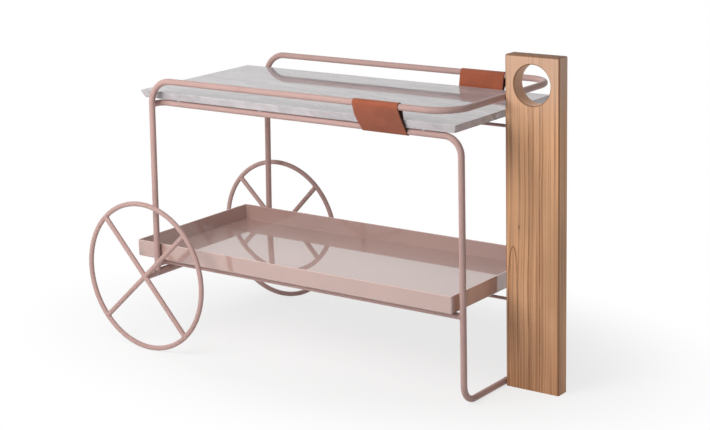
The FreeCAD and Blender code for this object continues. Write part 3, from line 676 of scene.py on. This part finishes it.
def wheel_joints(side):
    """Where the spokes meet the ring and the two half spokes meet the long one."""
    hub = Vector((AXLE.x, side * abs(middle("wheel_ring_near").y), AXLE.z))
    joints = []
    for quarter in range(4):
        angle = math.radians(SPOKE_ANGLES[side] + 90 * quarter)
        out = Vector((math.cos(angle), 0, math.sin(angle)))
        tangent = Vector((-out.z, 0, out.x))
        rim = hub + out * RING_RADIUS
        joints.append((rim, -out, BAR_RADIUS, rim, tangent, BAR_RADIUS))
        if quarter % 2:
            joints.append((hub, out, BAR_RADIUS, hub, tangent, BAR_RADIUS))
    return joints


# ---- leather sleeves -------------------------------------------------------------------

# Rows along a sleeve, and steps on each stretch of its line round the rails.
SLEEVE_ROWS = 46
ARC_STEPS = 14
LOWER_ARC_STEPS = 26
FRONT_STEPS = 22
BACK_STEPS = 5
# How far the leather waves where it is free, and how free its inner side is beside its front.
SLEEVE_WAVE = 0.0005
BACK_FREEDOM = 0.35
# A sleeve's cut edges are rounded: how far in from the edge, and the share of the thickness there.
EDGE_ROUNDING = ((0.0, 0.45), (0.0002, 0.75), (0.0007, 1.0))
EDGE_INSET = EDGE_ROUNDING[-1][0]
# A sleeve's three materials, in the order of its slots.
GRAIN_SIDE, FLESH_SIDE, CUT_EDGE = range(3)


def arc(centre, radius, start, end, steps=ARC_STEPS):
    """Points on an arc in the plane across the rails, angles in degrees."""
    angles = [math.radians(start + (end - start) * step / steps) for step in range(steps + 1)]
    return [centre + Vector((math.cos(turn), math.sin(turn))) * radius for turn in angles]


def eased(points, steps):
    """A smooth line through points, without its first and last point."""
    line = []
    for index in range(1, len(points)):
        start, end = points[index - 1], points[index]
        leave = (end - points[max(index - 2, 0)]) / 2
        arrive = (points[min(index + 1, len(points) - 1)] - start) / 2
        for step in range(steps):
            t = step / steps
            line.append(start * (2 * t ** 3 - 3 * t ** 2 + 1) + leave * (t ** 3 - 2 * t ** 2 + t)
                        + end * (3 * t ** 2 - 2 * t ** 3) + arrive * (t ** 3 - t ** 2))
    return line[1:]


def sleeve_line(bulge):
    """The leather's closed middle line round the near rails, and how free each point is to wave."""
    reach = TUBE_RADIUS + sizes().leather / 2
    rail, lower = Vector((-RAIL_Y, RAIL_Z)), Vector((-LOWER_Y, SHELF_Z))
    down = (lower - rail).normalized()
    out = Vector((down.y, -down.x))
    turned = 180 + math.degrees(math.atan2(down.x, -down.y))
    over_rail = arc(rail, reach, 0, turned)
    under_lower = arc(lower, reach, turned, 450, LOWER_ARC_STEPS)
    shares = [step / FRONT_STEPS for step in range(1, FRONT_STEPS)]
    humps = [math.sin(math.pi * share ** 0.8) for share in shares]
    front = [over_rail[-1].lerp(under_lower[0], share) + out * bulge * hump ** 1.3
             for share, hump in zip(shares, humps)]
    back = eased([under_lower[-1], *beside_slab(), over_rail[0]], BACK_STEPS)
    free = [0.0] * len(over_rail) + humps + [0.0] * len(under_lower)
    free += [BACK_FREEDOM * math.sin(math.pi * (index + 1) / (len(back) + 1))
             for index in range(len(back))]
    return over_rail + front + under_lower + back, free


def beside_slab():
    """Where the middle of the leather passes under and beside the slab's near edge."""
    low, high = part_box("marble_slab")
    heel = low.y + SLAB_CUT_BACK
    half = sizes().leather / 2
    at_heel, at_edge = heel - half, low.y - half
    return [Vector((heel + 0.0040, low.z - 0.0016)), Vector((heel - 0.0006, low.z - 0.0014)),
            Vector((at_heel - 0.0011, low.z - 0.0001)), Vector((at_heel - 0.0019, low.z + 0.0023)),
            Vector((at_edge - 0.0006, high.z - 0.0020)), Vector((at_edge - 0.0019, high.z + 0.008))]


def sleeve_mesh(side):
    """Vertices, faces and the material index of each face for one sleeve."""
    low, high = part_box("leather_sleeve_near")
    free = sleeve_line(0.0)[1]
    half = sizes().leather / 2
    count = len(free)
    stations = [(low.x + inset, fullness) for inset, fullness in EDGE_ROUNDING]
    even = high.x - low.x - 2 * EDGE_INSET
    stations += [(low.x + EDGE_INSET + even * step / SLEEVE_ROWS, 1.0)
                 for step in range(1, SLEEVE_ROWS)]
    stations += [(high.x - inset, fullness) for inset, fullness in reversed(EDGE_ROUNDING)]
    vertices = []
    for skin in (1, -1):
        for x, fullness in stations:
            towards_wheels = (high.x - x) / (high.x - low.x)
            line = sleeve_line(sizes().bulge + sizes().flare * towards_wheels ** 3)[0]
            for index, point in enumerate(line):
                ahead = (line[(index + 1) % count] - line[index - 1]).normalized()
                out = Vector((ahead.y, -ahead.x))
                drift = noise.noise(Vector((x * 21.0, index * 0.06, 2.0 + side)))
                place = point + out * (skin * half * fullness + drift * SLEEVE_WAVE * free[index])
                vertices.append(Vector((x, -side * place.x, place.y)))
    rows = len(stations)
    outer = grid_faces(rows, count, False, True)
    inner = [tuple(reversed(face)) for face in grid_faces(rows, count, False, True, rows * count)]
    rims = []
    for row in (0, rows - 1):
        for index in range(count):
            beside = (index + 1) % count
            quad = (row * count + index, row * count + beside,
                    (rows + row) * count + beside, (rows + row) * count + index)
            rims.append(tuple(reversed(quad)) if row == 0 else quad)
    faces = outer + inner + rims
    kinds = [GRAIN_SIDE] * len(outer) + [FLESH_SIDE] * len(inner) + [CUT_EDGE] * len(rims)
    for number, face in enumerate(outer):
        if face[0] // count in (0, rows - 2):
            kinds[number] = CUT_EDGE
    if side == FAR:
        faces = [tuple(reversed(face)) for face in faces]
    return vertices, faces, kinds


def flat_sleeve():
    """The strip that a sleeve was cut to: its width along the rails and its way round them."""
    low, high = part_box("leather_sleeve_near")
    line = sleeve_line(sizes().bulge)[0]
    return high.x - low.x, sum((point - line[index - 1]).length for index, point in enumerate(line))


# ---- screws ----------------------------------------------------------------------------

SCREW_SIDES = 60
# Hexagon sockets: width across the flats and depth.
PLANK_SOCKET = (0.0030, 0.0018)
HUB_SOCKET = (0.0020, 0.0015)
# How far a head is carried on below the surface that it sits on.
SCREW_ROOT = 0.004
# Where a hub's set screw ends, as a share of the hub's radius.
SET_SCREW_END = 0.90


def hexagon(turn, across_flats):
    """The radius of a hexagon in a direction."""
    sector = math.pi / 3
    return across_flats / 2 / math.cos((turn % sector) - sector / 2)


def screw_rings(profile, across_flats, depth):
    """The rings of a screw head from its rim to the floor of its hexagon socket."""
    rings = [[(radius, height)] * SCREW_SIDES for radius, height in profile]
    top = profile[-1][1]
    angles = [2 * math.pi * step / SCREW_SIDES for step in range(SCREW_SIDES)]
    socket = ((1.08, top), (1.0, top - depth * 0.08), (1.0, top - depth),
              (0.0, top - depth * 1.25))
    for scale, height in socket:
        rings.append([(hexagon(turn, across_flats) * scale, height) for turn in angles])
    return rings


def screw_mesh(centre, axis, profile, socket, vertices, faces):
    """Add a screw head: a profile of (radius, height) pairs from the outside in, and a socket."""
    turn_to = Vector((0, 0, 1)).rotation_difference(axis.normalized()).to_matrix()
    start = len(vertices)
    rings = screw_rings(profile, *socket)
    for ring in rings:
        for step, (radius, height) in enumerate(ring):
            turn = 2 * math.pi * step / SCREW_SIDES
            place = Vector((radius * math.cos(turn), radius * math.sin(turn), height))
            vertices.append(centre + turn_to @ place)
    faces.extend(grid_faces(len(rings), SCREW_SIDES, False, True, start))


# ---- studio ----------------------------------------------------------------------------

# Name, place, size in metres, watts and colour of each lamp.
LIGHTS = (
    ("key", (-0.5, -2.4, 1.7), 1.6, 44.0, (1.0, 1.0, 0.99)),
    ("high_key", (-0.4, -1.6, 2.0), 1.4, 21.0, (1.0, 1.0, 0.99)),
    ("left", (-3.6, 0.6, 1.6), 2.0, 42.0, (1.0, 1.0, 1.0)),
    ("right", (3.2, 0.3, 0.8), 1.6, 11.5, (1.0, 1.0, 1.0)),
    ("back", (0.6, 3.4, 0.7), 1.8, 14.0, (1.0, 1.0, 1.0)),
)
# What every lamp faces.
LAMP_AIM = (0.0, 0.0, 0.4)
# Strengths of the light from the air and of the white that stands behind the trolley.
AIR_LIGHT = 0.10
WHITE = 1.0
# Half the floor's width.
FLOOR_HALF = 30.0
# The floor's painted soft shadow, a greyer patch round the trolley in which its real shadows show:
# its middle, its half sizes, how white the floor is inside it, and where it starts to fade and has
# gone, in half sizes.
SHADE_MIDDLE = (-0.02, 0.06)
SHADE_REACH = (0.85, 0.56)
SHADE_WHITE = 0.72
SHADE_EDGE = (0.55, 1.35)


def make_camera(scene):
    """A camera at the picture's own angle, turned a little about its line of sight."""
    studio = scene.trolley_studio
    data = bpy.data.cameras.new("camera")
    data.sensor_width = 36.0
    data.lens = studio.lens
    data.clip_end = 60.0
    made = new_object("camera", data)
    place, aim = Vector(studio.place), Vector(studio.aim)
    ahead = (aim - place).normalized()
    level = ahead.cross(Vector((0, 0, 1))).normalized()
    upright = level.cross(ahead)
    right = level * math.cos(studio.roll) + upright * math.sin(studio.roll)
    up = upright * math.cos(studio.roll) - level * math.sin(studio.roll)
    turn = Matrix((right, up, -ahead)).transposed()
    made.matrix_world = Matrix.Translation(place) @ turn.to_4x4()
    scene.camera = made


def make_floor(scene):
    """A pale floor: it keeps the trolley's shadow inside a painted soft shadow round it and fades
    into the white backdrop.
    """
    mesh = bpy.data.meshes.new("floor")
    corners = [(x * FLOOR_HALF, y * FLOOR_HALF, 0) for x, y in ((-1, -1), (1, -1), (1, 1), (-1, 1))]
    mesh.from_pydata(corners, [], [(0, 1, 2, 3)])
    made = new_object("floor", mesh)
    material = bpy.data.materials.new("floor")
    paint = Paint(material)
    x, y, _ = paint.axes(paint.place())
    along = (x - SHADE_MIDDLE[0]) / SHADE_REACH[0]
    over = (y - SHADE_MIDDLE[1]) / SHADE_REACH[1]
    away = (along * along + over * over).root()
    fade = SHADE_WHITE + paint.steps(away, *SHADE_EDGE) * (1.0 - SHADE_WHITE)
    ground = paint.node("ShaderNodeBsdfPrincipled", inputs={
        "Base Color": rgba(scene.trolley_studio.floor), "Roughness": 0.62,
        "Specular IOR Level": 0.25})
    white = paint.node("ShaderNodeEmission", inputs={"Color": (1, 1, 1, 1), "Strength": WHITE})
    looks = fade * paint.background_rays()
    shader = paint.node("ShaderNodeMixShader", inputs={0: looks, 1: ground, 2: white})
    paint.node("ShaderNodeOutputMaterial", inputs={"Surface": shader})
    mesh.materials.append(material)
    made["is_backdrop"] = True


def make_world(scene):
    """White behind the trolley for the camera and in reflections; a softer grey as light."""
    scene.world = bpy.data.worlds.new("studio_air")
    paint = Paint(scene.world)
    light = paint.node("ShaderNodeBackground",
                       inputs={"Color": (0.97, 0.98, 1.0, 1.0), "Strength": AIR_LIGHT})
    white = paint.node("ShaderNodeBackground", inputs={"Color": (1, 1, 1, 1), "Strength": WHITE})
    looks = paint.background_rays()
    shader = paint.node("ShaderNodeMixShader", inputs={0: looks, 1: light, 2: white})
    paint.node("ShaderNodeOutputWorld", inputs={"Surface": shader})


def make_light(name, place, size, strength, shade):
    """A square soft light that faces the trolley and doesn't show in the stone and the lacquer."""
    data = bpy.data.lights.new(name, "AREA")
    data.shape = "SQUARE"
    data.size = size
    data.energy = strength
    data.color = shade
    made = new_object(name, data)
    made.location = place
    made.visible_glossy = False
    ahead = Vector(LAMP_AIM) - Vector(place)
    made.rotation_mode = "QUATERNION"
    made.rotation_quaternion = ahead.to_track_quat("-Z", "Y")


# ---- operators -------------------------------------------------------------------------


class TROLLEY_OT_tube_frame(bpy.types.Operator):
    """Coat the tube frame and lay the weld beads on its joints"""

    bl_idname = "trolley.tube_frame"
    bl_label = "Tube Frame"

    def execute(self, context):
        for node in TUBES:
            dress(node)
        weld_beads("frame_weld_beads", frame_joints(), FRAME_BODY, "frame_coat")
        return {"FINISHED"}


class TROLLEY_OT_wheels(bpy.types.Operator):
    """Coat both wheels, lay their weld beads and finish what is on their axles"""

    bl_idname = "trolley.wheels"
    bl_label = "Wheels"

    def execute(self, context):
        for side, name in SIDE_NAMES.items():
            for part in ("ring", "spoke_long", "spoke_halves", "hub", "bushes"):
                dress("wheel_%s_%s" % (part, name))
            dress("spindle_" + name)
            weld_beads("wheel_weld_beads_" + name, wheel_joints(side), "wheel_" + name,
                       "wheel_coat")
        return {"FINISHED"}


class TROLLEY_OT_slab(bpy.types.Operator):
    """Finish the marble slab and the pads that it lies on"""

    bl_idname = "trolley.slab"
    bl_label = "Marble Slab"

    def execute(self, context):
        dress("marble_slab")
        dress("slab_pads")
        return {"FINISHED"}


class TROLLEY_OT_tray(bpy.types.Operator):
    """Lacquer the tray and finish the pads that it lies on"""

    bl_idname = "trolley.tray"
    bl_label = "Tray"

    def execute(self, context):
        dress("tray")
        dress("tray_pads")
        return {"FINISHED"}


class TROLLEY_OT_plank(bpy.types.Operator):
    """Oil the standing plank and finish the inserts in it"""

    bl_idname = "trolley.plank"
    bl_label = "Handle Plank"

    def execute(self, context):
        dress("handle_plank")
        dress("plank_inserts")
        return {"FINISHED"}


class TROLLEY_OT_sleeves(bpy.types.Operator):
    """Wrap a leather sleeve round the top rail and the lower rail on each side"""

    bl_idname = "trolley.sleeves"
    bl_label = "Leather Sleeves"

    def execute(self, context):
        edge = finish_of("leather_edge", plain_finish(colours().leather_edge, 0.38))
        back = finish_of("leather_back", plain_finish(colours().leather_back, 0.80))
        for side, name in SIDE_NAMES.items():
            vertices, faces, kinds = sleeve_mesh(side)
            leathers = [finish("sleeve_leather"), back, edge]
            piece = new_piece("sleeve_" + name, vertices, faces, leathers, FRAME_BODY)
            piece.data.polygons.foreach_set("material_index", kinds)
            smooth(piece, 60.0)
            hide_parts("leather_sleeve_" + name)
            flat_sleeve()
        return {"FINISHED"}


class TROLLEY_OT_screws(bpy.types.Operator):
    """Set socket screws into the plank's tubes and across the hubs"""

    bl_idname = "trolley.screws"
    bl_label = "Screws"

    def execute(self, context):
        self.plank_screws()
        for name in SIDE_NAMES.values():
            self.hub_screw(name)
        return {"FINISHED"}

    def plank_screws(self):
        radius = half_size("plank_screws", 1)
        rise = HANDLE_X - TUBE_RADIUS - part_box("plank_screws")[0].x
        dome = [(0.0, -SCREW_ROOT), (radius * 0.98, -SCREW_ROOT), (radius, 0.0),
                (radius, rise * 0.22)]
        for step in range(1, 4):
            turn = math.radians(18 * step)
            reach = radius * math.cos(turn) * 0.55 + radius * 0.45 * math.cos(turn) ** 0.5
            dome.append((reach, rise * (0.22 + 0.78 * math.sin(turn))))
        dome.append((radius * 0.46, rise))
        vertices, faces = [], []
        for height in (RAIL_Z, TUBE_RADIUS):
            centre = Vector((HANDLE_X - TUBE_RADIUS, 0, height))
            screw_mesh(centre, Vector((-1, 0, 0)), dome, PLANK_SOCKET, vertices, faces)
        piece = new_piece("plank_screw_heads", vertices, faces, [finish("frame_coat")], FRAME_BODY)
        smooth(piece)
        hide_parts("plank_screws")

    def hub_screw(self, name):
        node = "wheel_retainer_" + name
        centre = middle(node)
        out = Vector((centre.x - AXLE.x, 0, centre.z - AXLE.z))
        radius = half_size(node, 1)
        end = half_size("wheel_hub_" + name, 0) * SET_SCREW_END
        barrel = [(0.0, -SCREW_ROOT), (radius * 0.96, -SCREW_ROOT), (radius * 0.96, -0.0004),
                  (radius * 0.82, 0.0)]
        vertices, faces = [], []
        seat = Vector((AXLE.x, centre.y, AXLE.z)) + out.normalized() * end
        screw_mesh(seat, out, barrel, HUB_SOCKET, vertices, faces)
        piece = new_piece("hub_screw_" + name, vertices, faces, [finish("turned_steel")],
                          "wheel_" + name)
        smooth(piece)
        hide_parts(node)


class TROLLEY_OT_studio(bpy.types.Operator):
    """Make the floor, the soft lights and the camera"""

    bl_idname = "trolley.studio"
    bl_label = "Studio"

    def execute(self, context):
        scene = context.scene
        scene.view_settings.view_transform = "Standard"
        make_camera(scene)
        make_floor(scene)
        make_world(scene)
        for lamp in LIGHTS:
            make_light(*lamp)
        return {"FINISHED"}


# ---- panel and registration -----------------------------------------------------------


class TROLLEY_PT_panel(bpy.types.Panel):
    """Lists the steps that dress the trolley"""

    bl_idname = "TROLLEY_PT_panel"
    bl_label = "Cheese Trolley"
    bl_space_type = "VIEW_3D"
    bl_region_type = "UI"
    bl_category = "Trolley"

    def draw(self, context):
        for operator in OPERATORS:
            self.layout.operator(operator.bl_idname)
        for owner, group in GROUPS:
            for name in group.__annotations__:
                self.layout.prop(getattr(context.scene, owner), name)


GROUPS = (("trolley_colours", TrolleyColours), ("trolley_sizes", TrolleySizes),
          ("trolley_studio", TrolleyStudio))
OPERATORS = (TROLLEY_OT_studio, TROLLEY_OT_tube_frame, TROLLEY_OT_wheels, TROLLEY_OT_slab,
             TROLLEY_OT_tray, TROLLEY_OT_plank, TROLLEY_OT_sleeves, TROLLEY_OT_screws)


def register():
    for name, group in GROUPS:
        bpy.utils.register_class(group)
        setattr(bpy.types.Scene, name, bpy.props.PointerProperty(type=group))
    for operator in OPERATORS:
        bpy.utils.register_class(operator)
    bpy.utils.register_class(TROLLEY_PT_panel)


def unregister():
    bpy.utils.unregister_class(TROLLEY_PT_panel)
    for operator in reversed(OPERATORS):
        bpy.utils.unregister_class(operator)
    for name, group in reversed(GROUPS):
        delattr(bpy.types.Scene, name)
        bpy.utils.unregister_class(group)


def write_sizes():
    """Put the frame's box and the dressed model's box side by side; the result is not kept."""
    boxes = {"cad": CAD_BOX, "visual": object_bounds()}
    {name: [list(corner) for corner in box] for name, box in boxes.items()}


def main():
    register()
    for operator in OPERATORS:
        group, name = operator.bl_idname.split(".")
        getattr(getattr(bpy.ops, group), name)()
    write_sizes()


if __name__ == "__main__":
    main()
